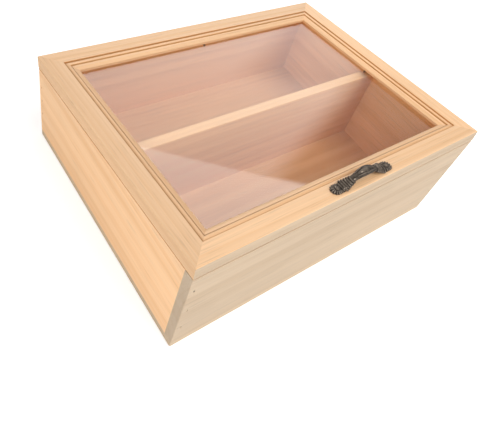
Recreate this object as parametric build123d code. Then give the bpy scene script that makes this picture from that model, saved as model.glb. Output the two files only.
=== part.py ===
from build123d import *
import os
from math import atan2, cos, degrees, pi, radians, sin, tan

# Wooden box for tea bags, with two long compartments under a glazed lid that slopes down to the back.
# Millimetres. X runs along the front, Y to the back and Z up. The origin is under the middle of the base.

# Overall form
WIDTH = 250.0
DEPTH = 196.0
FRONT_HEIGHT = 95.0
BACK_HEIGHT = 75.5

# Boards
WALL = 7.5
BASE = 6.0
DIVIDER = 7.5
DADO_DEPTH = 2.5
DADO_GAP = 0.1
DIVIDER_DROP = 0.6
BOARD_ROUND = 0.8
BASE_CHAMFER = 0.4

# Lid section, from its outer edge inwards
LID_THICKNESS = 9.5
FLAT = 12.8
QUIRK = 0.6
BEAD = 2.7
OVOLO = 3.9
BEAD_EDGE = 0.9
BEAD_CROWN = 0.4
BEAD_QUIRK_FLOOR = 1.4
OVOLO_QUIRK_FLOOR = 2.1
OVOLO_TOP = 1.5
OVOLO_FOOT = 3.2
OVOLO_SWELL = 0.35
RABBET = 6.0
LID_ROUND = 0.8
SEAM = 0.3

# Pane
GLASS = 2.0
GLASS_GAP = 0.5
GLASS_CHAMFER = 0.3

# Brads, glazing pins and V nails
BRAD_WIDTH = 1.25
BRAD_THICKNESS = 1.0
BRAD_LENGTH = 20.0
BRAD_HEAD_WIDTH = 2.0
BRAD_HEAD = 0.8
BRAD_SET = 0.3
BRAD_LOW_MARGIN = 25.0
BRAD_HIGH_MARGIN = 15.0
BRADS_PER_CORNER = 3
BASE_BRAD_MARGIN = 35.0
BASE_BRADS_ALONG = 4
BASE_BRADS_ACROSS = 2
NAIL_GAP = 0.02
GLAZING_PIN_WIDTH = 1.2
GLAZING_PIN_THICKNESS = 1.0
GLAZING_HEAD_WIDTH = 2.2
GLAZING_HEAD = 0.6
GLAZING_PIN_OUT = 5.0
GLAZING_PIN_IN = 7.0
GLAZING_PLAY = 0.05
V_NAIL_LEG = 5.0
V_NAIL_THICKNESS = 0.5
V_NAIL_HEIGHT = 5.5
V_NAIL_SET = 0.2

# Bow pull on the front rail
PULL_PITCH = 45.3
PULL_SHIFT = 3.4
PAD_LENGTH = 11.8
PAD_WIDTH = 9.5
PAD_SHIFT = 0.5
PAD_THICKNESS = 1.7
PAD_LOBES = 7
PAD_LOBE_RADIUS = 1.2
PAD_FLUTE = 0.8
ARCH_CLEARANCE = 5.4
ARCH_INSET = 2.3
BULGE_WIDTH = 7.4
BULGE_THICKNESS = 4.0
NECK_WIDTH = 4.6
NECK_THICKNESS = 2.7
FOOT_WIDTH = 8.0
FOOT_THICKNESS = 1.7
RIBS_PER_NECK = 5
RIB_HEIGHT = 0.4
RIB_THICKNESS = 0.85
PULL_PIN_WIDTH = 1.2
PULL_PIN_HEAD_RADIUS = 1.35
PULL_PIN_HEAD = 0.8
PULL_PIN_DEPTH = 6.0
PULL_PIN_SEAT_GAP = 0.15

# Butt hinges on the back
HINGE_LENGTH = 18.0
HINGE_INSET = 42.0
LEAF_THICKNESS = 0.8
LEAF_WIDTH = 7.5
KNUCKLE_RADIUS = 1.6
KNUCKLE_STANDOFF = 0.3
KNUCKLE_GAP = 0.25
MIDDLE_KNUCKLE = 7.0
LEAF_EDGE_GAP = 0.15
HINGE_PIN_RADIUS = 0.8
HINGE_PIN_PLAY = 0.04
HINGE_PIN_END = 0.4
SCREW_RADIUS = 0.8
SCREW_HEAD_RADIUS = 1.6
SCREW_LENGTH = 5.5
SCREW_SIDES = 8
SCREW_PITCH = 11.0

# Worked out from the sizes above
SLOPE = atan2(FRONT_HEIGHT - BACK_HEIGHT, DEPTH)
LID_LENGTH = DEPTH / cos(SLOPE)
SIGHT = FLAT + QUIRK + BEAD + QUIRK + OVOLO
REBATE_EDGE = SIGHT - RABBET
GLAZING_PIN_DEPTH = LID_THICKNESS - GLAZING_HEAD_WIDTH / 2 - GLAZING_PLAY
GLASS_TOP = GLAZING_PIN_DEPTH - GLAZING_HEAD_WIDTH / 2 - GLAZING_PLAY - GLASS
LID_FRAME = Plane(
    origin=(0, LID_THICKNESS * sin(SLOPE), (FRONT_HEIGHT + BACK_HEIGHT) / 2),
    x_dir=(1, 0, 0),
    z_dir=(0, sin(SLOPE), cos(SLOPE)),
)
HINGE_OFFSET = KNUCKLE_RADIUS + KNUCKLE_STANDOFF
SCREW_HEIGHT = (LEAF_WIDTH + KNUCKLE_RADIUS) / 2
BOTTOM_UP = (Align.CENTER, Align.CENTER, Align.MIN)
TOP_DOWN = (Align.CENTER, Align.CENTER, Align.MAX)


def lid_underside(y):
    """Height of the closed lid's underside, at depth y."""
    middle = (FRONT_HEIGHT + BACK_HEIGHT) / 2 - LID_THICKNESS * cos(SLOPE)
    return middle - y * tan(SLOPE)


def rim(y):
    """Height of the box's sloping rim, one seam below the lid."""
    return lid_underside(y) - SEAM / cos(SLOPE)


def on_lid(shape):
    """Places a shape from the lid's own frame, whose zero is the middle of its top."""
    return LID_FRAME.location * shape


def group(shapes):
    """Pieces of one kind as a compound of separate solids."""
    return Compound(children=[solid for shape in shapes for solid in shape.solids()])


def less(part, cuts):
    """The part with every cut taken out."""
    for cut in cuts:
        part -= cut
    return part


def spaced(first, last, count):
    """Evenly spaced values, both ends included."""
    return [first + (last - first) * k / (count - 1) for k in range(count)]


# Fasteners. Each function returns pairs of a fastener and the hole that it fills.

def tee(width, thickness, length, head_width, head, gap=0.0, reach=0.0):
    """A flat nail with a T head, its top at zero. A gap round it and a reach above it make its hole."""
    shank = Box(width + 2 * gap, thickness + 2 * gap, length, align=TOP_DOWN)
    top = Box(head_width + 2 * gap, thickness + 2 * gap, head + reach, align=TOP_DOWN)
    return shank + Pos(Z=reach) * top


def brad(at, outwards, along):
    """A brad set a little below the face that it enters, its head drawn out along one direction."""
    place = Plane(origin=at, x_dir=along, z_dir=outwards).location * Pos(Z=-BRAD_SET)
    sizes = (BRAD_WIDTH, BRAD_THICKNESS, BRAD_LENGTH, BRAD_HEAD_WIDTH, BRAD_HEAD)
    return place * tee(*sizes), place * tee(*sizes, NAIL_GAP, 2 * BRAD_SET)


def corner_brads():
    """Through the front board into the sides, and through the sides into the back board."""
    made = []
    for side in (-1, 1):
        for z in spaced(BRAD_LOW_MARGIN, rim(-DEPTH / 2) - BRAD_HIGH_MARGIN, BRADS_PER_CORNER):
            made.append(brad((side * (WIDTH - WALL) / 2, -DEPTH / 2, z), (0, -1, 0), (0, 0, 1)))
        for z in spaced(BRAD_LOW_MARGIN, rim(DEPTH / 2) - BRAD_HIGH_MARGIN, BRADS_PER_CORNER):
            made.append(brad((side * WIDTH / 2, (DEPTH - WALL) / 2, z), (side, 0, 0), (0, 0, 1)))
    return made


def bottom_brads():
    """Up through the base into the middle of each wall."""
    made = []
    along, across = WIDTH / 2 - BASE_BRAD_MARGIN, DEPTH / 2 - BASE_BRAD_MARGIN
    for end in (-1, 1):
        for x in spaced(-along, along, BASE_BRADS_ALONG):
            made.append(brad((x, end * (DEPTH - WALL) / 2, 0), (0, 0, -1), (1, 0, 0)))
        for y in spaced(-across, across, BASE_BRADS_ACROSS):
            made.append(brad((end * (WIDTH - WALL) / 2, y, 0), (0, 0, -1), (0, 1, 0)))
    return made


def glazing_pins():
    """Driven sideways into the middle of each lid member, just under the pane. In the lid's frame."""
    length = GLAZING_PIN_OUT + GLAZING_PIN_IN
    sizes = (GLAZING_PIN_WIDTH, GLAZING_PIN_THICKNESS)
    pin = tee(*sizes, length, GLAZING_HEAD_WIDTH, GLAZING_HEAD)
    hole = Box(*(size + 2 * NAIL_GAP for size in sizes), length + NAIL_GAP, align=TOP_DOWN)
    made = []
    for turn, half in ((0, WIDTH / 2), (90, LID_LENGTH / 2), (180, WIDTH / 2), (270, LID_LENGTH / 2)):
        head = half - REBATE_EDGE - GLAZING_PIN_OUT
        place = Rot(Z=turn) * Pos(head, 0, -GLAZING_PIN_DEPTH) * Rot(Y=-90)
        made.append((place * pin, place * hole))
    return made


def v_nails():
    """A folded steel V across each mitre, pressed in from below. In the lid's frame."""
    near = (REBATE_EDGE - V_NAIL_LEG) / 2
    corner = (Align.MIN, Align.MIN, Align.MIN)
    made = []
    for x_end, y_end, turn in ((-1, -1, 0), (1, -1, 90), (1, 1, 180), (-1, 1, 270)):
        place = Pos(x_end * WIDTH / 2, y_end * LID_LENGTH / 2, -LID_THICKNESS) * Rot(Z=turn)
        pair = []
        for foot in (V_NAIL_SET, -V_NAIL_SET):
            height = V_NAIL_HEIGHT + V_NAIL_SET - foot
            legs = Box(V_NAIL_LEG, V_NAIL_THICKNESS, height, align=corner)
            legs += Box(V_NAIL_THICKNESS, V_NAIL_LEG, height, align=corner)
            pair.append(place * Pos(near, near, foot) * legs)
        made.append(tuple(pair))
    return made


def pull_pins():
    """Two square pins with raised round heads, through the pads into the front rail. In the pull's frame."""
    length = PAD_THICKNESS + PULL_PIN_DEPTH
    pin = Box(PULL_PIN_WIDTH, PULL_PIN_WIDTH, length, align=TOP_DOWN)
    pin += Cone(PULL_PIN_HEAD_RADIUS, PULL_PIN_HEAD_RADIUS / 2, PULL_PIN_HEAD, align=BOTTOM_UP)
    across = PULL_PIN_WIDTH + 2 * NAIL_GAP
    hole = Box(across, across, length + NAIL_GAP, align=TOP_DOWN)
    places = [Pos(end * PULL_PITCH / 2, 0, PAD_THICKNESS) for end in (-1, 1)]
    return [(place * pin, place * hole) for place in places]


def screw(gap=0.0, reach=0.0):
    """A countersunk screw, its head up at zero and its shank many-sided. A gap and a reach above it make its hole."""
    flank = SCREW_HEAD_RADIUS - SCREW_RADIUS
    part = Cone(SCREW_RADIUS + gap, SCREW_HEAD_RADIUS + gap, flank, align=TOP_DOWN)
    part += extrude(RegularPolygon(SCREW_RADIUS + gap, SCREW_SIDES), -SCREW_LENGTH - gap)
    if reach:
        part += Cylinder(SCREW_HEAD_RADIUS + gap, reach, align=BOTTOM_UP)
    return part


def leaf_screws():
    """The two screws of a leaf that hangs down from the hinge's axis."""
    made = []
    for x in (-SCREW_PITCH / 2, SCREW_PITCH / 2):
        place = Pos(x, LEAF_THICKNESS - HINGE_OFFSET, -SCREW_HEIGHT) * Rot(X=-90)
        made.append((place * screw(), place * screw(NAIL_GAP, LEAF_THICKNESS)))
    return made


# Box

def board(y_front, y_back):
    """A board seen from the side, from the base up to the sloping rim."""
    return Plane.YZ * make_face(Polyline(
        (y_front, BASE), (y_back, BASE), (y_back, rim(y_back)), (y_front, rim(y_front)), close=True
    ))


def ease(part, x, y):
    """Rounds the part's upright edges at one place of the plan."""
    upright = part.edges().filter_by(Axis.Z)
    return fillet([e for e in upright if abs(e.center().X - x) + abs(e.center().Y - y) < 0.01], BOARD_ROUND)


def front_panel():
    part = extrude(board(-DEPTH / 2, -DEPTH / 2 + WALL), WIDTH / 2, both=True)
    for side in (-1, 1):
        part = ease(part, side * WIDTH / 2, -DEPTH / 2)
    return part


def back_panel():
    return extrude(board(DEPTH / 2 - WALL, DEPTH / 2), WIDTH / 2 - WALL, both=True)


def side_panel(side):
    """A side with the groove that the divider stands in."""
    part = extrude(board(-DEPTH / 2 + WALL, DEPTH / 2), WALL / 2, both=True)
    part = Pos(X=side * (WIDTH - WALL) / 2) * part
    groove = Box(2 * DADO_DEPTH, DIVIDER + 2 * DADO_GAP, FRONT_HEIGHT, align=BOTTOM_UP)
    part -= Pos(side * (WIDTH / 2 - WALL), 0, BASE) * groove
    return ease(part, side * WIDTH / 2, DEPTH / 2)


def bottom_panel():
    part = Box(WIDTH, DEPTH, BASE, align=BOTTOM_UP)
    part = fillet(part.edges().filter_by(Axis.Z), BOARD_ROUND)
    return chamfer(part.faces().sort_by(Axis.Z)[0].edges(), BASE_CHAMFER)


def divider():
    """Stands in the side grooves on the base, its rounded top just under the lid."""
    length = WIDTH - 2 * (WALL - DADO_DEPTH + DADO_GAP)
    height = rim(DIVIDER / 2) - DIVIDER_DROP - BASE
    part = Pos(Z=BASE) * Box(length, DIVIDER, height, align=BOTTOM_UP)
    return fillet(part.faces().sort_by(Axis.Z)[-1].edges().filter_by(Axis.X), BOARD_ROUND)


# Lid, in its own frame

def lid_section():
    """A lid member cut across, with x in from its outer edge and y up."""
    bead = FLAT + QUIRK
    ovolo = bead + BEAD + QUIRK
    ovolo_middle = ((ovolo + SIGHT) / 2, OVOLO_SWELL - (OVOLO_TOP + OVOLO_FOOT) / 2)
    outline = Polyline(
        (SIGHT, -OVOLO_FOOT),
        (SIGHT, -GLASS_TOP),
        (REBATE_EDGE, -GLASS_TOP),
        (REBATE_EDGE, -LID_THICKNESS),
        (0, -LID_THICKNESS),
        (0, 0),
        (FLAT, 0),
        (FLAT, -BEAD_QUIRK_FLOOR),
        (bead, -BEAD_QUIRK_FLOOR),
        (bead, -BEAD_EDGE),
    )
    outline += ThreePointArc((bead, -BEAD_EDGE), (bead + BEAD / 2, -BEAD_CROWN), (bead + BEAD, -BEAD_EDGE))
    outline += Polyline(
        (bead + BEAD, -BEAD_EDGE),
        (bead + BEAD, -OVOLO_QUIRK_FLOOR),
        (ovolo, -OVOLO_QUIRK_FLOOR),
        (ovolo, -OVOLO_TOP),
    )
    outline += ThreePointArc((ovolo, -OVOLO_TOP), ovolo_middle, (SIGHT, -OVOLO_FOOT))
    section = make_face(outline.edges())
    return fillet([v for v in section.vertices() if abs(v.X) < 0.01], LID_ROUND)


def lid_member(length):
    """A length of the section along X, mitred at both ends, with its outer edge on Y = 0."""
    bar = extrude(Plane.YZ * lid_section(), length / 2, both=True)
    half = length / 2
    plan = Polyline((-half, 0), (half, 0), (half - SIGHT, SIGHT), (SIGHT - half, SIGHT), close=True)
    return bar & extrude(make_face(plan), -LID_THICKNESS)


def lid_members():
    """The four mitred members in their places."""
    across, along = lid_member(WIDTH), lid_member(LID_LENGTH)
    return {
        "lid_front_rail": Pos(Y=-LID_LENGTH / 2) * across,
        "lid_back_rail": Pos(Y=LID_LENGTH / 2) * Rot(Z=180) * across,
        "lid_left_stile": Pos(X=-WIDTH / 2) * Rot(Z=-90) * along,
        "lid_right_stile": Pos(X=WIDTH / 2) * Rot(Z=90) * along,
    }


def glass_pane():
    """Lies up against the rabbet, held by the glazing pins."""
    cut = 2 * (REBATE_EDGE + GLASS_GAP)
    pane = Box(WIDTH - cut, LID_LENGTH - cut, GLASS, align=TOP_DOWN)
    return Pos(Z=-GLASS_TOP) * chamfer(pane.edges(), GLASS_CHAMFER)


# Bow pull, in its own frame: its zero is on the lid's top, midway between the pins

def on_rail(shape):
    """Places a shape from the pull's frame on the flat of the front rail, in the lid's frame."""
    return Pos(PULL_SHIFT, (FLAT - LID_LENGTH) / 2, 0) * shape


def arch_height(share):
    """Height of the bow's middle line, with share 0 at the crown and 1 at the foot."""
    crown = ARCH_CLEARANCE + BULGE_THICKNESS / 2
    foot = FOOT_THICKNESS / 2 + 0.15
    return foot + (crown - foot) * (1 + cos(pi * share)) / 2


def across_arch(share):
    """The plane square to the bow's middle line at a share of its half length."""
    reach = PULL_PITCH / 2 - ARCH_INSET
    rise = arch_height(share + 0.01) - arch_height(share - 0.01)
    return Plane(origin=(share * reach, 0, arch_height(share)), x_dir=(0, 1, 0), z_dir=(0.02 * reach, 0, rise))


def bow_section(width, thickness):
    """Eight-sided, so that the casting has facets along its length."""
    w, t = width / 2, thickness / 2
    half = [(w, 0.4 * t), (0.5 * w, t), (-0.5 * w, t), (-w, 0.4 * t)]
    return make_face(Polyline(*half, *((-x, -y) for x, y in half), close=True))


def neck_size(share):
    """Width and thickness of the bow between its neck, at half way, and its foot."""
    widening = (share - 0.5) / 0.5 * (FOOT_WIDTH - NECK_WIDTH)
    thinning = (share - 0.5) / 0.5 * (NECK_THICKNESS - FOOT_THICKNESS)
    return NECK_WIDTH + widening, NECK_THICKNESS - thinning


def arch():
    """Sections lofted along the bow, slim at the necks and full at the crown, with ribs from each neck to its foot."""
    sizes = [neck_size(share) for share in (1, 0.75, 0.5)]
    sizes += [(0.82 * BULGE_WIDTH, 0.86 * BULGE_THICKNESS), (BULGE_WIDTH, BULGE_THICKNESS)]
    rows = zip(spaced(-1, 1, 9), sizes + sizes[-2::-1])
    bow = loft([across_arch(share) * bow_section(*size) for share, size in rows])
    for share in spaced(0.53, 0.83, RIBS_PER_NECK):
        rib = bow_section(*(size + 2 * RIB_HEIGHT for size in neck_size(share)))
        rib = extrude(rib, RIB_THICKNESS / 2, both=True)
        for end in (-1, 1):
            bow += across_arch(end * share).location * rib
    return bow


def pad(end):
    """A scalloped shell under one foot, with flutes that spread from its middle."""
    long, wide = PAD_LENGTH / 2, PAD_WIDTH / 2
    outline = Ellipse(long - PAD_LOBE_RADIUS / 2, wide - PAD_LOBE_RADIUS / 2)
    angles = spaced(-105, 105, PAD_LOBES)
    for angle in angles:
        x = (long - PAD_LOBE_RADIUS) * cos(radians(angle))
        y = (wide - PAD_LOBE_RADIUS) * sin(radians(angle))
        outline += Pos(x, y) * Circle(PAD_LOBE_RADIUS)
    crown = 1.2 * PAD_THICKNESS
    dome = (PAD_LENGTH**2 / 2.6 + crown**2) / (2 * crown)
    shell = extrude(outline, 2 * PAD_THICKNESS)
    shell &= Pos(Z=crown - dome) * Rot(X=90) * Sphere(dome)
    for near, far in zip(angles, angles[1:]):
        flute = Rot(Z=(near + far) / 2) * Pos(0.8 * long, 0, 1.05 * PAD_THICKNESS) * Rot(Y=14) * Rot(X=45)
        shell -= flute * Box(0.8 * long, PAD_FLUTE, PAD_FLUTE)
    return Pos(X=end * (PULL_PITCH / 2 - PAD_SHIFT)) * Rot(Z=90 - 90 * end) * shell


def bow_pull():
    """Bow and pads in one casting, flat below and spotted for the pins' heads."""
    pull = arch() + pad(-1) + pad(1)
    pull -= Box(2 * PULL_PITCH, 4 * PAD_WIDTH, 4 * PAD_THICKNESS, align=TOP_DOWN)
    seat = Cylinder(PULL_PIN_HEAD_RADIUS + PULL_PIN_SEAT_GAP, BULGE_THICKNESS, align=BOTTOM_UP)
    for end in (-1, 1):
        pull -= Pos(end * PULL_PITCH / 2, 0, PAD_THICKNESS) * seat
    return less(pull, [hole for _, hole in pull_pins()])


# Hinges, each in a frame with its axis on X

def hinge_place(side):
    """The axis just behind the seam, as far from the box's back as from the lid's edge."""
    height = lid_underside(DEPTH / 2) - HINGE_OFFSET * tan(SLOPE / 2)
    return Pos(side * (WIDTH / 2 - HINGE_INSET), DEPTH / 2 + HINGE_OFFSET, height)


def hinge_leaf(spans, others):
    """A leaf that hangs down from the axis against the wood, with knuckles on its own spans of X."""
    size = (HINGE_LENGTH, LEAF_THICKNESS, LEAF_WIDTH - LEAF_EDGE_GAP)
    leaf = Box(*size, align=(Align.CENTER, Align.MIN, Align.MAX))
    leaf = fillet(leaf.faces().sort_by(Axis.Z)[0].edges().filter_by(Axis.Y), BOARD_ROUND)
    leaf = Pos(0, -HINGE_OFFSET, -LEAF_EDGE_GAP) * leaf
    for start, end in others:
        notch = Box(end - start, 3 * HINGE_OFFSET, 2 * (KNUCKLE_RADIUS + KNUCKLE_GAP))
        leaf -= Pos(X=(start + end) / 2) * notch
    for start, end in spans:
        leaf += Pos(X=(start + end) / 2) * Rot(Y=90) * Cylinder(KNUCKLE_RADIUS, end - start)
    leaf -= Rot(Y=90) * Cylinder(HINGE_PIN_RADIUS + HINGE_PIN_PLAY, 2 * HINGE_LENGTH)
    return less(leaf, [hole for _, hole in leaf_screws()])


def hinge_pin():
    return Rot(Y=90) * Cylinder(HINGE_PIN_RADIUS, HINGE_LENGTH + 2 * HINGE_PIN_END)


def hinges():
    """Both hinges in place on the closed box, with their screws and the screws' holes."""
    end, middle = HINGE_LENGTH / 2, MIDDLE_KNUCKLE / 2
    outer = [(-end, -middle - KNUCKLE_GAP), (middle + KNUCKLE_GAP, end)]
    inner = [(-middle, middle)]
    outer_notches = [(-end - 1, -middle), (middle, end + 1)]
    inner_notch = [(-middle - KNUCKLE_GAP, middle + KNUCKLE_GAP)]
    box_leaf, lid_leaf = hinge_leaf(outer, inner_notch), hinge_leaf(inner, outer_notches)
    up = Rot(X=-degrees(SLOPE)) * Rot(Y=180)
    made, box_screws, lid_screws = {}, [], []
    for name, side in (("left", -1), ("right", 1)):
        place = hinge_place(side)
        made[name + "_hinge_box_leaf"] = place * box_leaf
        made[name + "_hinge_lid_leaf"] = place * up * lid_leaf
        made[name + "_hinge_pin"] = place * hinge_pin()
        box_screws += [(place * a, place * b) for a, b in leaf_screws()]
        lid_screws += [(place * up * a, place * up * b) for a, b in leaf_screws()]
    return made, box_screws, lid_screws


def assembly():
    """Every piece in its place on the closed box, by node name."""
    hinge_parts, box_screws, lid_screws = hinges()
    corner, bottom = corner_brads(), bottom_brads()
    lid_fixings = [(on_lid(a), on_lid(b)) for a, b in glazing_pins() + v_nails()]
    pins = [(on_lid(on_rail(a)), on_lid(on_rail(b))) for a, b in pull_pins()]
    box_holes = [hole for _, hole in corner + bottom + box_screws]
    lid_holes = [hole for _, hole in lid_fixings + pins + lid_screws]
    boards = {
        "front_panel": front_panel(),
        "back_panel": back_panel(),
        "left_panel": side_panel(-1),
        "right_panel": side_panel(1),
        "bottom_panel": bottom_panel(),
    }
    nodes = {name: less(part, box_holes) for name, part in boards.items()}
    nodes["divider"] = divider()
    nodes["corner_brads"] = group(a for a, _ in corner)
    nodes["bottom_brads"] = group(a for a, _ in bottom)
    nodes.update({name: less(on_lid(part), lid_holes) for name, part in lid_members().items()})
    nodes["glass_pane"] = on_lid(glass_pane())
    nodes["glazing_pins"] = group(a for a, _ in lid_fixings[:4])
    nodes["lid_v_nails"] = group(a for a, _ in lid_fixings[4:])
    nodes["bow_pull"] = on_lid(on_rail(bow_pull()))
    nodes["pull_pins"] = group(a for a, _ in pins)
    nodes.update(hinge_parts)
    nodes["hinge_box_screws"] = group(a for a, _ in box_screws)
    nodes["hinge_lid_screws"] = group(a for a, _ in lid_screws)
    return nodes


os.makedirs("parts", exist_ok=True)
for node, shape in assembly().items():
    export_step(shape, f"parts/{node}.step")
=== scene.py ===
"""Pine tea box with a glazed lid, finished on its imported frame. Metres, Z up, front towards -Y."""

from math import atan2, cos, pi, radians, sin

import bpy
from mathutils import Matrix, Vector


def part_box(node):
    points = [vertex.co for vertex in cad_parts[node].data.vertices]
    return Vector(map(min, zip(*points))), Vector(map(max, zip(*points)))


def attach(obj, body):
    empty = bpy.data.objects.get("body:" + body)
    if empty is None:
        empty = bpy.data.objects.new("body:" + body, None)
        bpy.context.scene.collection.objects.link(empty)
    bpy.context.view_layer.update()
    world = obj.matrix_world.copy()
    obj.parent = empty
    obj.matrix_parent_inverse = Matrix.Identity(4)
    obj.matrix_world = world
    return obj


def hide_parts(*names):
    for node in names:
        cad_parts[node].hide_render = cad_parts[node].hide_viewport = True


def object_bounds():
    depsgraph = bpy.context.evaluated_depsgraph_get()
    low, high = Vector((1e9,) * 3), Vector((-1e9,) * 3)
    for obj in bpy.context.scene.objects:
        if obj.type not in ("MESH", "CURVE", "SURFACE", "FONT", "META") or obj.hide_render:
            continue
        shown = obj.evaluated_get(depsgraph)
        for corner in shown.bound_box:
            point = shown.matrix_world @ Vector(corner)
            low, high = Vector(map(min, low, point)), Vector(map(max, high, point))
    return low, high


bl_info = {
    "name": "Glazed Tea Box",
    "version": (1, 0, 0),
    "blender": (4, 5, 0),
    "location": "View3D > Sidebar > Tea Box",
    "description": "Finishes a pine tea box with a glazed lid and sets it on a pale studio floor",
    "category": "Object",
}

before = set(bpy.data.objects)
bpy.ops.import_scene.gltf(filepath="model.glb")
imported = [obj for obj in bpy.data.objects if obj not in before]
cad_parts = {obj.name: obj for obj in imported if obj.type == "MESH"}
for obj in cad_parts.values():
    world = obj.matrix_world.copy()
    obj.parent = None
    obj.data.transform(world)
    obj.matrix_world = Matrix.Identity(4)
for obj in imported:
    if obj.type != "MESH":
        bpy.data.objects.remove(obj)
CAD_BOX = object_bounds()

MM = 0.001

# The lid. Its reaches are from its middle to its outer edges, along its own slope.
FRONT_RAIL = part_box("lid_front_rail")
BACK_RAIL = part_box("lid_back_rail")
LID_SLOPE = atan2(FRONT_RAIL[1].z - BACK_RAIL[1].z, BACK_RAIL[1].y - FRONT_RAIL[0].y)
LID_THICKNESS = 9.5 * MM
LID_MIDDLE_HEIGHT = 85.25 * MM
LID_SIDE_REACH = 0.125
LID_END_REACH = 98.485 * MM
QUIRK_INSETS = (13.1, 16.4)
QUIRK_HALF = 0.42 * MM

# The box. Inside it is half its width, half its depth, and a height within the base board.
# Of the corner brads, two on the left are bare: one at the front and one at the back.
INSIDE = (0.1185, 0.0915, 0.004)
BARE_FRONT_BRAD = 0.0702
BARE_BACK_BRAD = 0.0379
BARE_BRAD_REACH = 3 * MM

# The pull. Its middle is from its front edge, along the lid's slope, its first rib is a share
# of the way from a foot to the middle, and its ridges fan out by so many degrees each way.
PULL_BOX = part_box("bow_pull")
PULL_MIDDLE = 4.63 * MM
FIRST_RIB = 0.14
RIB_LEAN = radians(30)
RIDGE_FAN = 112
PIN_HEIGHT = 1.7 * MM

# The hinges. Their axis is so far back and so high, and a spread is half of a pair's distance.
HINGE_AXIS = (0.0999, 0.065952)
HINGE_PIN_RADIUS = 0.0008
HINGE_SPREAD = 0.083
SCREW_SPREAD = 5.5 * MM

# How finely the pine's noises run along the grain and across it
WANDER_SCALE = (2.2, 9, 9)
FIBRE_SCALE = (9, 1300, 1300)
STREAK_SCALE = (1.3, 130, 130)
CLOUD_SCALE = (5, 16, 16)
FLECK_SCALE = (40, 1800, 1800)

# The stage, as the photograph was taken, with turns in degrees
CAMERA_AT = (-0.23063, -0.18695, 0.3247)
CAMERA_TURN = (40.797, -13.86, -35.469)
CAMERA_SHIFT = -0.0852
FILM_WIDTH = 36
FLOOR_RADIUS = 4
LAMP_AIM = (0, 0, 0.05)
CARD_SIZE = (1.6, 1.2)
CARD_AT = (0.7654, 0.8614, 0.8498)
CARD_FACES = (-0.5628, -0.6175, -0.5495)


def colour(label, text, default):
    return bpy.props.FloatVectorProperty(
        name=label, description=text, subtype="COLOR", size=3, min=0, max=1, default=default
    )


def length(label, text, default):
    return bpy.props.FloatProperty(
        name=label, description=text, unit="LENGTH", subtype="DISTANCE", min=0, default=default
    )


def factor(label, text, default, top=1.0):
    return bpy.props.FloatProperty(
        name=label, description=text, subtype="FACTOR", min=0, max=top, default=default
    )


def count(label, text, default, low, high):
    return bpy.props.IntProperty(name=label, description=text, min=low, max=high, default=default)


def watts(label, text, default):
    return bpy.props.FloatProperty(name=label, description=text, unit="POWER", default=default)


class TeaBoxWood(bpy.types.PropertyGroup):
    """Colours and figure of the pine."""

    early: colour("Early Wood", "Pale spring growth between the ring lines", (0.89, 0.565, 0.315))
    late: colour("Late Wood", "Amber summer growth that draws the ring lines", (0.74, 0.385, 0.15))
    cool_early: colour(
        "Cool Early Wood", "Pale spring growth of the paler, greyer boards", (0.75, 0.575, 0.4)
    )
    cool_late: colour(
        "Cool Late Wood", "Summer growth of the paler, greyer boards", (0.63, 0.44, 0.27)
    )
    base_early: colour(
        "Base Early Wood", "Spring growth of the yellower base board", (0.79, 0.605, 0.41)
    )
    base_late: colour(
        "Base Late Wood", "Summer growth of the yellower base board", (0.68, 0.45, 0.26)
    )
    # Painted shade: the inside colours paint the darker, more orange interreflected shade on the
    # faces inside the box, which are the same pine as outside.
    inside_shade_early: colour(
        "Inside Early Wood", "Spring growth of the faces inside the box", (0.86, 0.47, 0.21)
    )
    inside_shade_late: colour(
        "Inside Late Wood", "Summer growth of the faces inside the box", (0.715, 0.325, 0.105)
    )
    # Painted shade: this tint darkens the two quirks of the lid's moulding, standing in for the
    # shadow at their bottoms.
    quirk_shade: colour(
        "Groove Tint", "Finish gathered in the quirks of the lid's moulding", (0.8, 0.67, 0.5)
    )
    ring_gap: length("Ring Gap", "Distance between growth rings", 0.0042)
    wander: length("Ring Wander", "How far the rings stray from true circles", 0.012)
    ring_depth: factor("Ring Depth", "How strongly the late wood shows", 0.34)
    relief: length("Grain Relief", "Depth of the raised grain", 0.00012)


class TeaBoxGlass(bpy.types.PropertyGroup):
    """Look of the pane."""

    tint: colour("Glass Tint", "Colour of light through the pane", (0.985, 0.99, 0.985))
    smear: factor("Smear", "Roughness left by handling", 0.015)


class TeaBoxMetal(bpy.types.PropertyGroup):
    """Colours of the fittings."""

    bronze: colour("Antique Bronze", "Dark body of the pull", (0.016, 0.0125, 0.0105))
    rubbed: colour("Rubbed Bronze", "Metal that shows on the raised edges", (0.27, 0.22, 0.175))
    steel: colour("Nail Steel", "Dulled steel of brads and pins", (0.16, 0.145, 0.13))
    filler: colour("Wood Filler", "Filler over the sunk brads", (0.8, 0.6, 0.4))
    brass: colour("Hinge Brass", "Plated brass of the hinges and their screws", (0.78, 0.57, 0.27))


class TeaBoxPull(bpy.types.PropertyGroup):
    """Sizes of the cast bow pull."""

    pin_gap: length("Pin Gap", "Distance between the two pins", 0.0453)
    rise: length("Rise", "Height of the bow's middle line over the rail", 0.0071)
    bulge: length("Bulge Width", "Width of the bow at its middle", 0.0073)
    neck: length("Neck Width", "Width of the bow where it is slimmest", 0.0048)
    foot: length("Foot Width", "Width of the bow where it meets its pads", 0.008)
    ribs: count("Ribs", "Ribs at each end of the bow", 5, 1, 9)
    rib_gap: length("Rib Gap", "Distance between ribs", 0.00172)
    pad_length: length("Pad Length", "Length of each shell pad", 0.0104)
    pad_width: length("Pad Width", "Width of each shell pad", 0.0085)
    ridges: count("Ridges", "Ridges on each shell pad", 11, 3, 13)
    grit: length("Casting Grit", "Size of the finest form the casting keeps", 0.00016)


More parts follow.
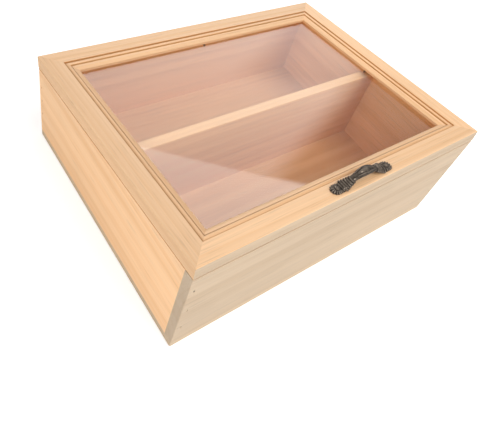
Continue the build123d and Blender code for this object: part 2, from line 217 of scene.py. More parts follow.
class TeaBoxStage(bpy.types.PropertyGroup):
    """Floor, light and camera."""

    floor: colour("Floor", "Colour of the floor", (0.9, 0.9, 0.9))
    ambient: factor("Ambient", "Plain light from all round", 0.5, 4)
    top: watts("Top Lamp", "Power of the lamp overhead", 12.5)
    left: watts("Left Lamp", "Power of the lamp on the left", 10.5)
    front: watts("Front Lamp", "Power of the lamp in front", 8)
    card: factor("Card", "Brightness of the card that the pane mirrors", 2.9, 10)
    lens: length("Focal Length", "Focal length on a 36 mm film", 0.039963)


def put(tree, kind, feeds=(), **looks):
    """Adds a node, sets its looks and feeds its inputs with values or with other nodes' sockets."""
    made = tree.nodes.new(kind)
    for name, value in looks.items():
        setattr(made, name, value)
    for name, value in dict(feeds).items():
        if isinstance(value, bpy.types.NodeSocket):
            tree.links.new(value, made.inputs[name])
        else:
            made.inputs[name].default_value = value
    return made


def blank(name):
    """A new material with only its output and a Principled shader, which feeds it."""
    made = bpy.data.materials.new(name)
    made.use_nodes = True
    made.node_tree.nodes.clear()
    shader = put(made.node_tree, "ShaderNodeBsdfPrincipled")
    put(made.node_tree, "ShaderNodeOutputMaterial", {"Surface": shader.outputs[0]})
    return made, made.node_tree, shader


def resurface(tree, shader):
    """Feeds a material's output from another shader than its first one."""
    out = next(n for n in tree.nodes if n.type == "OUTPUT_MATERIAL")
    tree.links.new(shader.outputs[0], out.inputs["Surface"])


def vectors(tree, operation, feeds):
    """The vector that one sum of vectors gives."""
    return put(tree, "ShaderNodeVectorMath", feeds, operation=operation).outputs[0]


def mapped(tree, vector, **feeds):
    """A vector moved or turned by a Mapping node."""
    return put(tree, "ShaderNodeMapping", {"Vector": vector, **feeds}).outputs[0]


def stretched(tree, vector, scale, **feeds):
    """Noise drawn out along the grain, from a vector that is scaled by axis first."""
    drawn = vectors(tree, "MULTIPLY", {0: vector, 1: scale})
    return put(tree, "ShaderNodeTexNoise", {"Vector": drawn, "Scale": 1.0, **feeds}).outputs[0]


def noise(tree, scale, **feeds):
    """Noise that is the same size every way, on the piece's own coordinates."""
    place = put(tree, "ShaderNodeTexCoord").outputs["Object"]
    feeds = {"Vector": place, "Scale": scale, **feeds}
    return put(tree, "ShaderNodeTexNoise", feeds).outputs[0]


def mixed(tree, share, a, b, blend="MIX"):
    """The colour socket of a mix of two colours."""
    node = put(tree, "ShaderNodeMix", data_type="RGBA", blend_type=blend)
    for socket, value in zip((node.inputs[0], node.inputs[6], node.inputs[7]), (share, a, b)):
        if isinstance(value, bpy.types.NodeSocket):
            tree.links.new(value, socket)
        else:
            socket.default_value = value if isinstance(value, float) else (*value, 1)
    return node.outputs[2]


def spread(tree, value, low, high, to_low, to_high):
    """A value moved from one range to another."""
    return put(
        tree,
        "ShaderNodeMapRange",
        {"Value": value, "From Min": low, "From Max": high, "To Min": to_low, "To Max": to_high},
    ).outputs[0]


def maths(tree, operation, a, b):
    """One sum of two values or sockets."""
    return put(tree, "ShaderNodeMath", {0: a, 1: b}, operation=operation).outputs[0]


def close_to(tree, value, aim, reach):
    """One where a value is within reach of its aim, and zero elsewhere."""
    return put(tree, "ShaderNodeMath", {0: value, 1: aim, 2: reach}, operation="COMPARE").outputs[0]


def bumped(tree, shader, height, strength, distance):
    """Feeds a shader's normal from a height."""
    feeds = {"Height": height, "Strength": strength, "Distance": distance}
    tree.links.new(put(tree, "ShaderNodeBump", feeds).outputs[0], shader.inputs["Normal"])


def quirks(tree, place, grain):
    """One in the two narrow quirks that run round the lid's moulding, and zero elsewhere."""
    parts = put(tree, "ShaderNodeSeparateXYZ", {0: place})
    if grain == "Y":
        across, reach = parts.outputs[0], LID_SIDE_REACH
    else:
        slip = sin(LID_SLOPE) * (LID_THICKNESS * cos(LID_SLOPE) - LID_MIDDLE_HEIGHT)
        across, reach = maths(tree, "SUBTRACT", parts.outputs[1], slip), LID_END_REACH
    inset = maths(tree, "SUBTRACT", reach, maths(tree, "ABSOLUTE", across, 0.0))
    return maths(tree, "ADD", *(close_to(tree, inset, at * MM, QUIRK_HALF) for at in QUIRK_INSETS))


def pine(
    name,
    early,
    late,
    grain="X",
    tilt=0.0,
    pith=(0.0, 0.0),
    shift=0.0,
    level=1.0,
    inside=None,
    front=None,
):
    """Flat-sawn pine with its grain along one axis, and rings round a pith line beside the board.

    Tilt is the lid's slope for its members. Pith moves the figure across the board and up, and
    shift moves it along the grain. Level lightens or darkens the whole board.
    Inside and front are the early and late colours of painted shade: the darker, more orange
    shade on the faces inside the box, and the paler, greyer shade on the faces turned to the
    front, where they differ.
    """
    wood = bpy.context.scene.tea_box_wood
    made, tree, shader = blank(name)
    place = spot = put(tree, "ShaderNodeTexCoord").outputs["Object"]
    if tilt:
        place = mapped(tree, place, Rotation=(tilt, 0, 0))
    # Mask for painted shade: the two quirks of the lid's moulding.
    quirk_shade = quirks(tree, place, grain) if tilt else 0.0
    if grain == "Y":
        place = mapped(tree, place, Rotation=(0, 0, -pi / 2))
    moved = mapped(tree, place, Location=(shift, *pith))

    stray = vectors(tree, "MULTIPLY", {0: moved, 1: WANDER_SCALE})
    stray = put(tree, "ShaderNodeTexNoise", {"Vector": stray, "Scale": 1.0, "Detail": 2.0})
    stray = vectors(tree, "SUBTRACT", {0: stray.outputs["Color"], 1: (0.5, 0.5, 0.5)})
    stray = vectors(tree, "SCALE", {0: stray, "Scale": wood.wander})
    bent = vectors(tree, "ADD", {0: moved, 1: stray})
    ring = put(
        tree,
        "ShaderNodeTexWave",
        {"Vector": bent, "Scale": pi / 10 / wood.ring_gap, "Distortion": 0.0},
        wave_type="RINGS",
        rings_direction="X",
        wave_profile="SAW",
    ).outputs["Fac"]
    line = put(tree, "ShaderNodeValToRGB", {"Fac": ring})
    band = line.color_ramp
    band.elements[0].color = (0, 0, 0, 1)
    band.elements[1].color = (0.1, 0.1, 0.1, 1)
    for at, dark in ((0.45, 0.12), (0.78, 0.75), (0.92, 1.0)):
        band.elements.new(at).color = (dark, dark, dark, 1)
    line = line.outputs[0]

    fibre = stretched(tree, moved, FIBRE_SCALE, Detail=3.0, Roughness=0.6)
    streak = stretched(tree, moved, STREAK_SCALE, Detail=2.5)
    cloud = stretched(tree, moved, CLOUD_SCALE, Detail=1.0)
    fleck = stretched(tree, moved, FLECK_SCALE, Detail=0.0)
    fleck = spread(tree, fleck, 0.66, 0.76, 0.0, 1.0)

    share = maths(tree, "MULTIPLY", line, wood.ring_depth)
    share = maths(tree, "ADD", share, spread(tree, streak, 0.3, 0.7, -0.26, 0.34))
    share = put(tree, "ShaderNodeClamp", {"Value": share}).outputs[0]
    tone = mixed(tree, share, tuple(early), tuple(late))
    face = put(tree, "ShaderNodeTexCoord").outputs["Normal"]
    face = put(tree, "ShaderNodeSeparateXYZ", {0: face})
    # Painted shade: faces turned to the front take the paler, greyer front colours.
    if front:
        facing = spread(tree, face.outputs["Y"], -0.72, -0.9, 0.0, 1.0)
        tone = mixed(tree, facing, tone, mixed(tree, share, *front))
    # Painted shade: faces inside the box take the darker, more orange inside colours.
    if inside:
        parts = put(tree, "ShaderNodeSeparateXYZ", {0: spot})
        wide, deep, low = (maths(tree, "ABSOLUTE", parts.outputs[k], 0.0) for k in (0, 1, 2))
        within = maths(tree, "LESS_THAN", wide, INSIDE[0])
        within = maths(tree, "MULTIPLY", within, maths(tree, "LESS_THAN", deep, INSIDE[1]))
        within = maths(tree, "MULTIPLY", within, maths(tree, "GREATER_THAN", low, INSIDE[2]))
        tone = mixed(tree, within, tone, mixed(tree, share, *inside))

    shade = spread(tree, fibre, 0.3, 0.7, 0.94 * level, 1.05 * level)
    shade = maths(tree, "MULTIPLY", shade, spread(tree, cloud, 0.3, 0.7, 0.95, 1.04))
    shade = maths(tree, "MULTIPLY", shade, spread(tree, fleck, 0.0, 1.0, 1.0, 0.86))
    end = spread(tree, maths(tree, "ABSOLUTE", face.outputs[grain], 0.0), 0.6, 0.95, 0.0, 1.0)
    shade = maths(tree, "MULTIPLY", shade, spread(tree, end, 0.0, 1.0, 1.0, 0.8))
    tone = vectors(tree, "SCALE", {0: tone, "Scale": shade})
    # Painted shade: the two quirks of the lid's moulding are darkened by the tint.
    if tilt:
        tone = mixed(tree, quirk_shade, tone, tuple(wood.quirk_shade), "MULTIPLY")
    tree.links.new(tone, shader.inputs["Base Color"])

    rough = spread(tree, fibre, 0.3, 0.7, 0.5, 0.64)
    rough = maths(tree, "ADD", rough, maths(tree, "MULTIPLY", line, -0.08))
    tree.links.new(rough, shader.inputs["Roughness"])
    shader.inputs["Specular IOR Level"].default_value = 0.35
    height = maths(tree, "ADD", maths(tree, "MULTIPLY", line, 0.5), fibre)
    bumped(tree, shader, height, 0.5, wood.relief)
    return made


def dress(node, material):
    """Gives a CAD node a finished material in place of its flat one."""
    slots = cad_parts[node].material_slots
    if not slots:
        raise RuntimeError(f"{node} has no material slot to finish")
    for slot in slots:
        slot.material = material


def only(*pieces):
    """Leaves edit mode and selects just these pieces."""
    if bpy.context.object and bpy.context.object.mode == "EDIT":
        bpy.ops.object.mode_set(mode="OBJECT")
    bpy.ops.object.select_all(action="DESELECT")
    for piece in pieces:
        piece.select_set(True)
        bpy.context.view_layer.objects.active = piece


def start(kind, name, **sizes):
    """A mesh primitive, open in edit mode with all of it selected."""
    only()
    getattr(bpy.ops.mesh, f"primitive_{kind}_add")(**sizes)
    made = bpy.context.object
    made.name = name
    bpy.ops.object.transform_apply()
    bpy.ops.object.mode_set(mode="EDIT")
    bpy.ops.mesh.select_all(action="SELECT")
    return made


def shaped():
    """Closes edit mode and returns the piece."""
    bpy.ops.object.mode_set(mode="OBJECT")
    return bpy.context.object


def resize(x, y, z, about=(0, 0, 0)):
    bpy.ops.transform.resize(value=(x, y, z), center_override=about)


def cut_below(height):
    """Cuts off what lies below a height, and closes the cut."""
    bpy.ops.mesh.bisect(
        plane_co=(0, 0, height), plane_no=(0, 0, 1), use_fill=True, clear_inner=True
    )


def turn(angle, axis):
    """Turns what is selected about the origin, right-handed."""
    bpy.ops.transform.rotate(value=-angle, orient_axis=axis, center_override=(0, 0, 0))


def move(x, y, z):
    bpy.ops.transform.translate(value=(x, y, z))


def modify(piece, kind, **settings):
    """Adds a modifier with these settings and applies it."""
    only(piece)
    made = piece.modifiers.new(kind.title(), kind)
    for name, value in settings.items():
        setattr(made, name, value)
    bpy.ops.object.modifier_apply(modifier=made.name)


def joined(name, pieces):
    only(*pieces)
    bpy.ops.object.join()
    made = bpy.context.object
    made.name = made.data.name = name
    return made


def copied(piece, name):
    """A copy with a mesh of its own."""
    made = piece.copy()
    made.data = piece.data.copy()
    made.name = made.data.name = name
    bpy.context.scene.collection.objects.link(made)
    return made


def settle(piece, turned, at):
    """Turns a piece about the origin, moves it to its place and leaves that in its mesh."""
    only(piece)
    piece.rotation_euler = turned
    piece.location = at
    bpy.ops.object.transform_apply()


class TEABOX_OT_boards(bpy.types.Operator):
    """Finish the box's boards, its base and its divider in pine"""

    bl_idname = "teabox.boards"
    bl_label = "Box Boards"

    def execute(self, context):
        wood = context.scene.tea_box_wood
        warm = wood.early, wood.late
        cool = wood.cool_early, wood.cool_late
        base = wood.base_early, wood.base_late
        # Painted shade: the inside colours go on the faces inside the box.
        bare = tuple(wood.inside_shade_early), tuple(wood.inside_shade_late)
        boards = (
            ("front_panel", "Front Pine", cool, "X", (0.17, -0.045), 0.31, 0.88),
            ("back_panel", "Back Pine", warm, "X", (-0.04, -0.02), 1.7, 0.98),
            ("left_panel", "Left Pine", warm, "Y", (0.2, -0.03), 2.4, 1.05),
            ("right_panel", "Right Pine", warm, "Y", (-0.06, -0.06), 3.1, 1.0),
            ("bottom_panel", "Base Pine", base, "X", (0.02, 0.05), 4.2, 0.9),
            ("divider", "Divider Pine", warm, "X", (0.05, -0.04), 5.3, 1.0),
        )
        for node, name, tones, grain, pith, shift, level in boards:
            dress(node, pine(name, *tones, grain, 0.0, pith, shift, level, inside=bare))
        return {"FINISHED"}


class TEABOX_OT_lid(bpy.types.Operator):
    """Finish the lid's four mitred members, each with the grain along its length"""

    bl_idname = "teabox.lid"
    bl_label = "Lid Frame"

    def execute(self, context):
        wood = context.scene.tea_box_wood
        warm = wood.early, wood.late
        # Painted shade: these paler, greyer colours go on the front rail's faces turned to the
        # front, matched to the front board.
        pale = [tuple(0.87 * c for c in tone) for tone in (wood.cool_early, wood.cool_late)]
        # The levels paint light falling brighter towards the front right: painted shade darkens the
        # left stile and the back rail, and painted light brightens the right stile.
        members = (
            ("lid_front_rail", "Front Rail Pine", "X", (0.14, -0.11), 6.1, 1.0, pale),
            ("lid_back_rail", "Back Rail Pine", "X", (-0.05, -0.05), 7.4, 0.91, None),
            ("lid_left_stile", "Left Stile Pine", "Y", (0.16, -0.06), 8.2, 0.85, None),
            ("lid_right_stile", "Right Stile Pine", "Y", (-0.09, -0.04), 9.5, 1.07, None),
        )
        for node, name, grain, pith, shift, level, front in members:
            dress(node, pine(name, *warm, grain, LID_SLOPE, pith, shift, level, front=front))
        return {"FINISHED"}


class TEABOX_OT_pane(bpy.types.Operator):
    """Finish the pane in clear glass with a trace of handling"""

    bl_idname = "teabox.pane"
    bl_label = "Pane"

    def execute(self, context):
        glass = context.scene.tea_box_glass
        made, tree, shader = blank("Clear Glass")
        shader.inputs["Base Color"].default_value = (*glass.tint, 1)
        shader.inputs["Transmission Weight"].default_value = 1
        shader.inputs["IOR"].default_value = 1.5
        place = put(tree, "ShaderNodeTexCoord").outputs["Object"]
        wipe = stretched(tree, place, (30, 90, 30), Detail=4.0, Roughness=0.65)
        tree.links.new(spread(tree, wipe, 0.45, 0.75, 0.0, glass.smear), shader.inputs["Roughness"])
        wave = stretched(tree, place, (14, 9, 9), Detail=1.0)
        bumped(tree, shader, wave, 0.06, 0.4 * MM)
        path = put(tree, "ShaderNodeLightPath")
        lets = maths(tree, "MAXIMUM", path.outputs["Is Shadow Ray"], path.outputs["Is Diffuse Ray"])
        clear = put(tree, "ShaderNodeBsdfTransparent", {"Color": (0.975, 0.98, 0.975, 1)})
        feeds = {0: lets, 1: shader.outputs[0], 2: clear.outputs[0]}
        resurface(tree, put(tree, "ShaderNodeMixShader", feeds))
        dress("glass_pane", made)
        return {"FINISHED"}


def worn_metal(name, body, worn, gloss, scale):
    """Cast or drawn metal, blotched and dulled, with a fine bump."""
    made, tree, shader = blank(name)
    shader.inputs["Metallic"].default_value = 1
    blotch = noise(tree, scale, Detail=5.0, Roughness=0.6)
    fine = noise(tree, scale * 6, Detail=3.0)
    blotch = spread(tree, blotch, 0.35, 0.75, 0.0, 1.0)
    tone = mixed(tree, blotch, tuple(body), tuple(worn))
    tree.links.new(tone, shader.inputs["Base Color"])
    rough = spread(tree, fine, 0.3, 0.7, gloss, gloss + 0.22)
    tree.links.new(rough, shader.inputs["Roughness"])
    bumped(tree, shader, fine, 0.3, 0.08 * MM)
    return made


def aged_bronze(metal):
    """Cast bronze, blackened in its hollows and rubbed bright on its ridges."""
    made, tree, shader = blank("Aged Bronze")
    shader.inputs["Metallic"].default_value = 1
    blotch = noise(tree, 420.0, Detail=5.0, Roughness=0.62)
    fine = noise(tree, 2600.0, Detail=3.0)
    raised = put(tree, "ShaderNodeNewGeometry").outputs["Pointiness"]
    raised = maths(tree, "ADD", raised, spread(tree, blotch, 0.3, 0.7, -0.012, 0.012))
    worn = spread(tree, raised, 0.487, 0.572, 0.0, 1.0)
    tone = mixed(tree, worn, tuple(metal.bronze), tuple(metal.rubbed))
    tree.links.new(tone, shader.inputs["Base Color"])
    rough = spread(tree, fine, 0.3, 0.7, 0.4, 0.54)
    tree.links.new(rough, shader.inputs["Roughness"])
    bumped(tree, shader, fine, 0.35, 0.04 * MM)
    return made


def filled_brad(metal):
    """Brads under filler in the wood's colour, but for two whose steel shows."""
    made, tree, shader = blank("Filled Brad")
    place = put(tree, "ShaderNodeTexCoord").outputs["Object"]
    parts = put(tree, "ShaderNodeSeparateXYZ", {0: place})
    bare = 0.0
    left = maths(tree, "LESS_THAN", parts.outputs[0], 0.0)
    for side, height in (("LESS_THAN", BARE_FRONT_BRAD), ("GREATER_THAN", BARE_BACK_BRAD)):
        here = close_to(tree, parts.outputs[2], height, BARE_BRAD_REACH)
        here = maths(tree, "MULTIPLY", here, maths(tree, side, parts.outputs[1], 0.0))
        bare = maths(tree, "ADD", bare, maths(tree, "MULTIPLY", here, left))
    grain = noise(tree, 1500.0, Detail=4.0)
    filler = mixed(tree, grain, tuple(0.85 * c for c in metal.filler), tuple(metal.filler))
    steel = mixed(tree, grain, tuple(0.6 * c for c in metal.steel), tuple(metal.steel))
    tree.links.new(mixed(tree, bare, filler, steel), shader.inputs["Base Color"])
    tree.links.new(maths(tree, "MULTIPLY", bare, 0.7), shader.inputs["Metallic"])
    tree.links.new(spread(tree, grain, 0.3, 0.7, 0.5, 0.7), shader.inputs["Roughness"])
    bumped(tree, shader, grain, 0.4, 0.08 * MM)
    return made


class TEABOX_OT_nails(bpy.types.Operator):
    """Finish the brads, the glazing pins and the V nails in dull steel"""

    bl_idname = "teabox.nails"
    bl_label = "Nails"

    def execute(self, context):
        metal = context.scene.tea_box_metal
        steel = worn_metal("Nail Steel", metal.steel, tuple(0.7 * c for c in metal.steel), 0.4, 900)
        for node in ("bottom_brads", "glazing_pins", "lid_v_nails"):
            dress(node, steel)
        dress("corner_brads", filled_brad(metal))
        return {"FINISHED"}


def bow_bar(span):
    """The plain bow, still straight along X: broad at its feet and middle, slim at its necks.

    Each row is a share of the way from a foot to the middle, then half its width and height there.
    """
    pull = bpy.context.scene.tea_box_pull
    foot, neck, bulge = pull.foot / 2, pull.neck / 2, pull.bulge / 2
    half = [
        (0.0, foot, 0.95 * MM),
        (0.12, 0.97 * foot, 1.1 * MM),
        (0.26, 0.85 * foot, 1.25 * MM),
        (0.4, 0.7 * foot, 1.35 * MM),
        (0.52, neck, 1.4 * MM),
        (0.6, 1.03 * neck, 1.5 * MM),
        (0.75, 0.85 * bulge, 1.75 * MM),
        (0.88, 0.97 * bulge, 1.85 * MM),
        (1.0, bulge, 1.9 * MM),
    ]
    rows = [(share * span / 2, wide, high) for share, wide, high in half]
    rows += [(span - x, wide, high) for x, wide, high in rows[-2::-1]]
    upright = (0, pi / 2, 0)
    made = start("circle", "bow", vertices=24, radius=MM, rotation=upright, fill_type="NGON")
    resize(1, rows[0][1] / MM, rows[0][2] / MM)
    for (x_was, wide_was, high_was), (x, wide, high) in zip(rows, rows[1:]):
        bpy.ops.mesh.extrude_region_move(TRANSFORM_OT_translate={"value": (x - x_was, 0, 0)})
        resize(1, wide / wide_was, high / high_was, (x, 0, 0))
    shaped()
    modify(made, "SUBSURF", levels=2, render_levels=2)
    return made


def rib(x, wide, high, lean):
    """A plump ring round the bow, leaning towards its foot."""
    sizes = {"major_radius": MM, "minor_radius": 0.2 * MM}
    start("torus", "rib", major_segments=32, minor_segments=10, **sizes)
    turn(pi / 2, "Y")
    resize(3.4, wide / MM, high / MM)
    turn(lean, "Y")
    move(x, 0, 0)
    return shaped()


def ridge(at, half, swing=0.0, tip=0.0):
    """A slim egg, stretched along X, then tipped, swung round and moved to its place."""
    start("uv_sphere", "ridge", segments=24, ring_count=14, radius=1, rotation=(0, pi / 2, 0))
    resize(*half)
    turn(tip, "Y")
    turn(swing, "Z")
    move(*at)
    return shaped()


def arch_line():
    """The curve that the bow follows, over the rail from pad to pad."""
    pull = bpy.context.scene.tea_box_pull
    reach = pull.pin_gap / 2 - 2.3 * MM
    only()
    bpy.ops.curve.primitive_bezier_curve_add()
    made = bpy.context.object
    made.data.twist_mode = "Z_UP"
    made.data.resolution_u = 48
    points = made.data.splines[0].bezier_points
    points.add(1)
    for point, (x, z) in zip(points, ((-reach, MM), (0, pull.rise), (reach, MM))):
        point.handle_left_type = point.handle_right_type = "FREE"
        point.co = (x, 0, z)
        point.handle_left = (x - reach * 0.373, 0, z)
        point.handle_right = (x + reach * 0.373, 0, z)
    return made


def shell_pad():
    """A shell under the right foot: a low dome whose ridges fan out to a blunt, scalloped end."""
    pull = bpy.context.scene.tea_box_pull
    long, wide = pull.pad_length / 2, pull.pad_width / 2
    middle = pull.pin_gap / 2 - 0.5 * MM
    pieces = [
        ridge((middle, 0, 0.1 * MM), (0.95 * long, 0.9 * wide, 1.5 * MM)),
        ridge((middle - 0.62 * long, 0, 0.1 * MM), (0.55 * long, 0.92 * wide, 1.3 * MM)),
    ]
    inner = 1.5 * MM
    for k in range(pull.ridges):
        swing = radians(RIDGE_FAN * (2 * k / (pull.ridges - 1) - 1))
        outer = (abs(cos(swing) / long) ** 2.5 + abs(sin(swing) / wide) ** 2.5) ** -0.4
        half = (outer - inner) / 2
        along = inner + half
        at = (middle + along * cos(swing), along * sin(swing), 0.74 * MM)
        pieces.append(ridge(at, (half, 0.165 * wide, 0.9 * MM), swing, 0.09))
    return joined("pad", pieces)


def pin_head():
    """A low domed head on a square shank, its dome's foot at zero."""
    head = start("uv_sphere", "pin", segments=32, ring_count=16, radius=1)
    resize(1.3 * MM, 1.3 * MM, 0.75 * MM)
    cut_below(-0.2 * MM)
    shaped()
    shank = start("cube", "shank", size=1.2 * MM)
    resize(1, 1, 6)
    move(0, 0, -3.7 * MM)
    shaped()
    modify(shank, "BEVEL", width=0.1 * MM, segments=2)
    return joined("pin", [head, shank])


class TEABOX_OT_pull(bpy.types.Operator):
    """Cast the bow pull: a ribbed bow over two shell pads, each under its pin"""

    bl_idname = "teabox.pull"
    bl_label = "Bow Pull"

    def execute(self, context):
        pull = context.scene.tea_box_pull
        metal = context.scene.tea_box_metal
        line = arch_line()
        span = sum(spline.calc_length() for spline in line.data.splines)
        half = span / 2
        pieces = [bow_bar(span)]
        for k in range(pull.ribs):
            share = FIRST_RIB + k * pull.rib_gap / half
            wide = pull.foot / 2 - (share - 0.1) * 4.2 * MM + 0.25 * MM
            high = 1.38 * MM + share * 0.7 * MM
            pieces.append(rib(share * half, wide, high, -RIB_LEAN))
            pieces.append(rib(span - share * half, wide, high, RIB_LEAN))
        pieces.append(ridge((half, 0, 1.3 * MM), (7.4 * MM, 1.5 * MM, 0.9 * MM)))
        for side in (-1, 1):
            for way in (-1, 1):
                at = (half + way * 3.8 * MM, side * 2.1 * MM, 0.95 * MM)
                pieces.append(ridge(at, (5.0 * MM, 0.6 * MM, 0.7 * MM), -side * way * 0.17))
        bow = joined("bow", pieces)
        modify(bow, "CURVE", object=line, deform_axis="POS_X")
        right = shell_pad()
        left = copied(right, "left_pad")
        settle(left, (0, 0, pi), (0, 0, 0))
        cast = joined("cast_bow_pull", [bow, right, left])
        modify(cast, "REMESH", mode="VOXEL", voxel_size=pull.grit)
        modify(cast, "SMOOTH", factor=0.5, iterations=3)
        only(cast)
        bpy.ops.object.mode_set(mode="EDIT")
        bpy.ops.mesh.select_all(action="SELECT")
        cut_below(0.03 * MM)
        shaped()
        modify(cast, "DECIMATE", ratio=0.5)
        bpy.ops.object.shade_smooth_by_angle(angle=radians(40))

        pin = pin_head()
        other = copied(pin, "other_pin")
        settle(pin, (0, 0, 0), (pull.pin_gap / 2, 0, PIN_HEIGHT))
        settle(other, (0, 0, 0), (-pull.pin_gap / 2, 0, PIN_HEIGHT))
        pins = joined("cast_pull_pins", [pin, other])
        bpy.ops.object.shade_smooth_by_angle(angle=radians(40))

        bronze = aged_bronze(metal)
        low, high = PULL_BOX
        back, up = PULL_MIDDLE * cos(LID_SLOPE), PULL_MIDDLE * sin(LID_SLOPE)
        seat = ((low.x + high.x) / 2, low.y + back, low.z + up)
        for piece, node in ((cast, "bow_pull"), (pins, "pull_pins")):
            settle(piece, (-LID_SLOPE, 0, 0), seat)
            piece.data.materials.append(bronze)
            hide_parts(node)
            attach(piece, "lid")
        bpy.data.objects.remove(line)
        return {"FINISHED"}


class TEABOX_OT_hinges(bpy.types.Operator):
    """Finish the hinges and their screws in brass"""

    bl_idname = "teabox.hinges"
    bl_label = "Hinges"

    def execute(self, context):
        brass = context.scene.tea_box_metal.brass
        brass = worn_metal("Hinge Brass", brass, tuple(0.75 * c for c in brass), 0.25, 700)
        for side in ("left", "right"):
            for part in ("box_leaf", "lid_leaf"):
                dress(f"{side}_hinge_{part}", brass)
            self.pin(f"{side}_hinge_pin", brass)
        for body, node, tilt, out, up in (
            ("box", "hinge_box_screws", 0.0, -1.1 * MM, -4.55 * MM),
            ("lid", "hinge_lid_screws", LID_SLOPE, -0.644 * MM, 4.637 * MM),
        ):
            self.screws(body, node, tilt, out, up, brass)
        return {"FINISHED"}

    def pin(self, node, brass):
        """A hinge pin with rounded ends."""
        low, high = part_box(node)
        middle = (low + high) / 2
        sizes = {"radius": HINGE_PIN_RADIUS, "depth": high.x - low.x}
        made = start("cylinder", f"turned_{node}", vertices=32, **sizes)
        turn(pi / 2, "Y")
        move(*middle)
        shaped()
        modify(made, "BEVEL", width=0.34 * MM, segments=4, limit_method="ANGLE")
        bpy.ops.object.shade_smooth_by_angle(angle=radians(40))
        made.data.materials.append(brass)
        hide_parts(node)
        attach(made, "box")

    def screws(self, body, node, tilt, out, up, brass):
        """Four slotted countersunk screws, modelled once, each copy left at an angle of its own."""
        sizes = {"radius1": 0.8 * MM, "radius2": 1.6 * MM, "depth": 0.8 * MM}
        head = start("cone", "head", vertices=40, **sizes)
        move(0, 0, -0.4 * MM)
        shaped()
        slot = start("cube", "slot", size=MM)
        resize(4, 0.42, 0.7)
        shaped()
        modify(head, "BOOLEAN", object=slot, operation="DIFFERENCE", solver="EXACT")
        bpy.data.objects.remove(slot)
        modify(head, "BEVEL", width=0.05 * MM, segments=2, limit_method="ANGLE")
        shank = start("cylinder", "shank", vertices=24, radius=0.78 * MM, depth=5.0 * MM)
        move(0, 0, -3.0 * MM)
        shaped()
        modify(shank, "BEVEL", width=0.5 * MM, segments=2, limit_method="ANGLE")
        screw = joined("screw", [head, shank])
        bpy.ops.object.shade_smooth_by_angle(angle=radians(35))
        spots = [side * HINGE_SPREAD + way * SCREW_SPREAD for side in (-1, 1) for way in (-1, 1)]
        copies = []
        for k, x in enumerate(spots):
            one = copied(screw, f"screw_{k}")
            stopped = radians(23 + 67 * k + 40 * up / MM)
            settle(one, (0, 0, stopped), (0, 0, 0))
            settle(one, (-pi / 2 - tilt, 0, 0), (x, HINGE_AXIS[0] + out, HINGE_AXIS[1] + up))
            copies.append(one)
        bpy.data.objects.remove(screw)
        made = joined(f"slotted_{node}", copies)
        made.data.materials.append(brass)
        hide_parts(node)
        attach(made, body)


def lamp(name, power, size, at):
    """A square soft lamp that faces the box."""
    bpy.ops.object.light_add(type="AREA", location=at)
    made = bpy.context.object
    made.name = name
    made.data.shape = "SQUARE"
    made.data.size = size
    made.data.energy = power
    made.rotation_euler = (Vector(LAMP_AIM) - Vector(at)).to_track_quat("-Z", "Y").to_euler()


def soft_step(tree, value, low, high):
    """Zero below low, one above high, and smooth between them."""
    feeds = {"Value": value, "From Min": low, "From Max": high, "To Min": 0.0, "To Max": 1.0}
    return put(tree, "ShaderNodeMapRange", feeds, interpolation_type="SMOOTHSTEP").outputs[0]


def window_card(strength):
    """A studio card behind the box that only reflections see: bright, but for its right side."""
    only()
    bpy.ops.mesh.primitive_plane_add(size=1)
    card = bpy.context.object
    card.name = "window_card"
    card.scale = (*CARD_SIZE, 1)
    card.rotation_euler = Vector(CARD_FACES).to_track_quat("Z", "Y").to_euler()
    card.location = CARD_AT
    for kind in ("camera", "diffuse", "transmission", "shadow", "volume_scatter"):
        setattr(card, f"visible_{kind}", False)

    made = bpy.data.materials.new("Window Card")
    made.use_nodes = True
    tree = made.node_tree
    tree.nodes.clear()
    place = put(tree, "ShaderNodeTexCoord").outputs["UV"]
    parts = put(tree, "ShaderNodeSeparateXYZ", {0: place})
    across, up = (
        maths(tree, "MULTIPLY", maths(tree, "SUBTRACT", parts.outputs[k], 0.5), CARD_SIZE[k])
        for k in (0, 1)
    )
    flag = maths(tree, "ADD", across, maths(tree, "MULTIPLY", up, 0.6))
    open_side = soft_step(tree, flag, 0.31, 0.19)
    sill = maths(tree, "SUBTRACT", up, maths(tree, "MULTIPLY", across, 0.087))
    high = soft_step(tree, sill, 0.175, 0.2)
    dim = maths(tree, "ADD", across, maths(tree, "MULTIPLY", up, 0.853))
    dim = soft_step(tree, dim, -0.2, -0.09)
    dim = maths(tree, "MULTIPLY", dim, soft_step(tree, up, -0.08, -0.16))
    glow = maths(tree, "SUBTRACT", 1.0, maths(tree, "MULTIPLY", dim, 0.3))
    glow = maths(tree, "MULTIPLY", open_side, glow)
    glow = maths(tree, "MAXIMUM", glow, maths(tree, "MULTIPLY", high, 1.75))
    light = put(tree, "ShaderNodeEmission", {"Strength": maths(tree, "MULTIPLY", glow, strength)})
    put(tree, "ShaderNodeOutputMaterial", {"Surface": light.outputs[0]})
    card.data.materials.append(made)


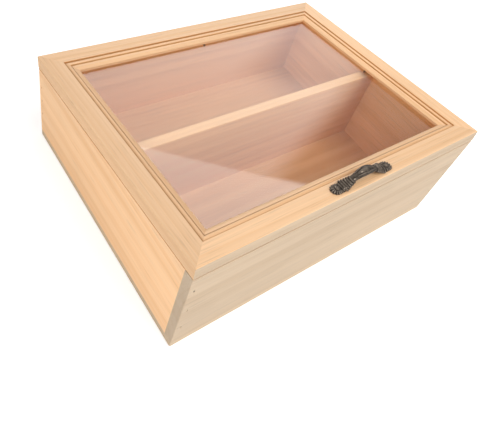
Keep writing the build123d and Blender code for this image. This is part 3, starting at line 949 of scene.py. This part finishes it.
class TEABOX_OT_stage(bpy.types.Operator):
    """Lay the floor, hang the lamps and the card, and set the camera"""

    bl_idname = "teabox.stage"
    bl_label = "Stage"

    def execute(self, context):
        look = context.scene.tea_box_stage
        scene = context.scene
        scene.view_settings.view_transform = "Standard"

        only()
        bpy.ops.mesh.primitive_circle_add(
            vertices=96, radius=FLOOR_RADIUS, fill_type="NGON", location=(0, 0, CAD_BOX[0].z)
        )
        floor = context.object
        floor.name = "floor"
        bpy.ops.object.transform_apply()
        made, tree, shader = blank("Floor")
        shader.inputs["Base Color"].default_value = (*look.floor, 1)
        shader.inputs["Roughness"].default_value = 0.9
        shader.inputs["Specular IOR Level"].default_value = 0.1
        path = put(tree, "ShaderNodeLightPath").outputs
        seen = maths(tree, "MAXIMUM", path["Is Camera Ray"], path["Is Transmission Ray"])
        glow = put(tree, "ShaderNodeEmission", {"Strength": maths(tree, "MULTIPLY", seen, 0.4)})
        feeds = {0: shader.outputs[0], 1: glow.outputs[0]}
        resurface(tree, put(tree, "ShaderNodeAddShader", feeds))
        floor.data.materials.append(made)

        world = bpy.data.worlds.new("Studio")
        scene.world = world
        world.use_nodes = True
        tree = world.node_tree
        tree.nodes.clear()
        path = put(tree, "ShaderNodeLightPath").outputs
        seen = maths(tree, "MAXIMUM", path["Is Camera Ray"], path["Is Glossy Ray"])
        seen = maths(tree, "MAXIMUM", seen, path["Is Transmission Ray"])
        level = spread(tree, seen, 0.0, 1.0, look.ambient, 1.0)
        light = put(tree, "ShaderNodeBackground", {"Color": (1, 1, 1, 1), "Strength": level})
        put(tree, "ShaderNodeOutputWorld", {"Surface": light.outputs[0]})

        lamp("Top Lamp", look.top, 1.0, (0.3, -0.8, 1.7))
        lamp("Left Lamp", look.left, 1.2, (-1.5, -0.35, 0.75))
        lamp("Front Lamp", look.front, 1.2, (0.7, -1.5, 0.75))
        window_card(look.card)

        data = bpy.data.cameras.new("Photo Camera")
        data.lens = look.lens * 1000
        data.sensor_width = FILM_WIDTH
        data.sensor_fit = "HORIZONTAL"
        data.shift_y = CAMERA_SHIFT
        data.clip_start = 0.01
        camera = bpy.data.objects.new("Photo Camera", data)
        scene.collection.objects.link(camera)
        camera.location = CAMERA_AT
        camera.rotation_euler = [radians(angle) for angle in CAMERA_TURN]
        scene.camera = camera
        return {"FINISHED"}


class TEABOX_PT_panel(bpy.types.Panel):
    """Sizes, colours and steps of the tea box"""

    bl_label = "Tea Box"
    bl_idname = "TEABOX_PT_panel"
    bl_space_type = "VIEW_3D"
    bl_region_type = "UI"
    bl_category = "Tea Box"

    def draw(self, context):
        scene = context.scene
        for group in (getattr(scene, name) for name in GROUPS):
            box = self.layout.box()
            for name in group.__annotations__:
                box.prop(group, name)
        for step in STEPS:
            self.layout.operator(step.bl_idname)


GROUPS = {
    "tea_box_wood": TeaBoxWood,
    "tea_box_glass": TeaBoxGlass,
    "tea_box_metal": TeaBoxMetal,
    "tea_box_pull": TeaBoxPull,
    "tea_box_stage": TeaBoxStage,
}
STEPS = (
    TEABOX_OT_boards,
    TEABOX_OT_lid,
    TEABOX_OT_pane,
    TEABOX_OT_nails,
    TEABOX_OT_pull,
    TEABOX_OT_hinges,
    TEABOX_OT_stage,
)


def register():
    for made in (*GROUPS.values(), *STEPS, TEABOX_PT_panel):
        bpy.utils.register_class(made)
    for name, made in GROUPS.items():
        setattr(bpy.types.Scene, name, bpy.props.PointerProperty(type=made))


def unregister():
    for name in GROUPS:
        delattr(bpy.types.Scene, name)
    for made in (TEABOX_PT_panel, *reversed(STEPS), *reversed(GROUPS.values())):
        bpy.utils.unregister_class(made)


def main():
    register()
    bpy.ops.teabox.boards()
    bpy.ops.teabox.lid()
    bpy.ops.teabox.pane()
    bpy.ops.teabox.nails()
    bpy.ops.teabox.pull()
    bpy.ops.teabox.hinges()
    bpy.ops.teabox.stage()


if __name__ == "__main__":
    main()
